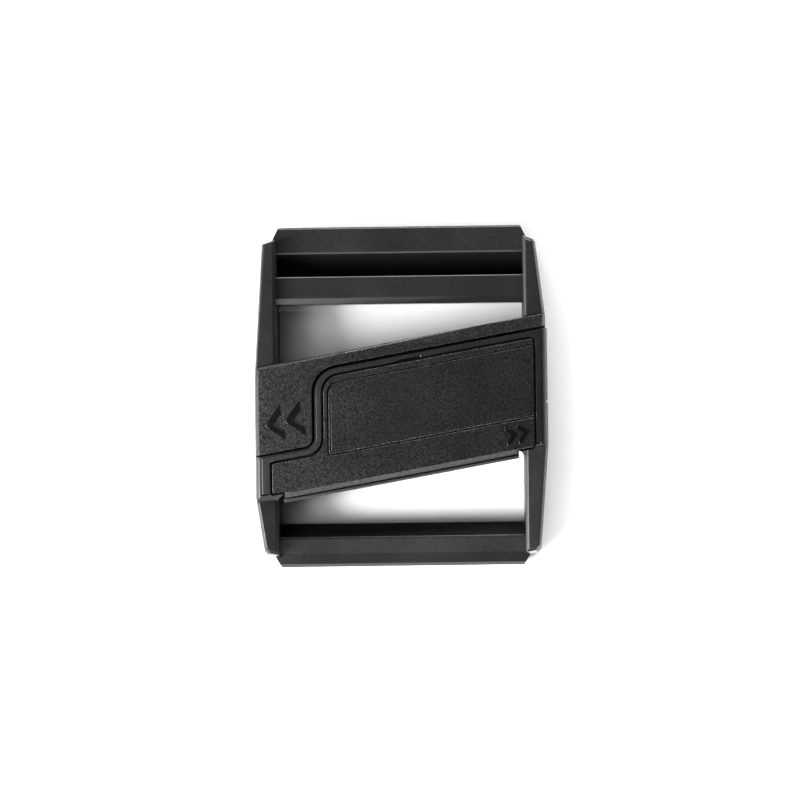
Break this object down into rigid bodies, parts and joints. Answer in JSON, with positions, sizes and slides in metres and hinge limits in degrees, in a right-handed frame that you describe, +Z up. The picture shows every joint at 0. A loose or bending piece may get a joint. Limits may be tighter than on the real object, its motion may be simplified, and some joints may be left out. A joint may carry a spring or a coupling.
{
  "type": "magnetic buckle",
  "caption": "Magnetic side-sliding strap buckle, fastened, with a two-bar strap adjuster at one end and a fixed strap bar at the other.",
  "frame": {"origin": "on the ground under the middle of the buckle as it lies on its back", "axes": "+X across the webbing, +Y along the webbing from the fixed bar towards the strap adjuster, +Z up out of the domed front"},
  "size_m": [0.049, 0.0566, 0.011],
  "materials": {
    "frame": "smooth satin moulded plastic",
    "cover": "fine speckled texture, with glossy arrow faces",
    "plate": "fine speckled texture, with glossy arrow faces",
    "panel": "coarser speckled grip texture",
    "magnet": "nickel plated"
  },
  "bodies": {
    "root": {"upper_frame": "frame", "upper_cover": "cover", "lower_frame": "frame", "lower_plate": "plate", "grip_panel": "panel", "upper_magnet": "magnet", "lower_magnet": "magnet"}
  },
  "joints": []
}
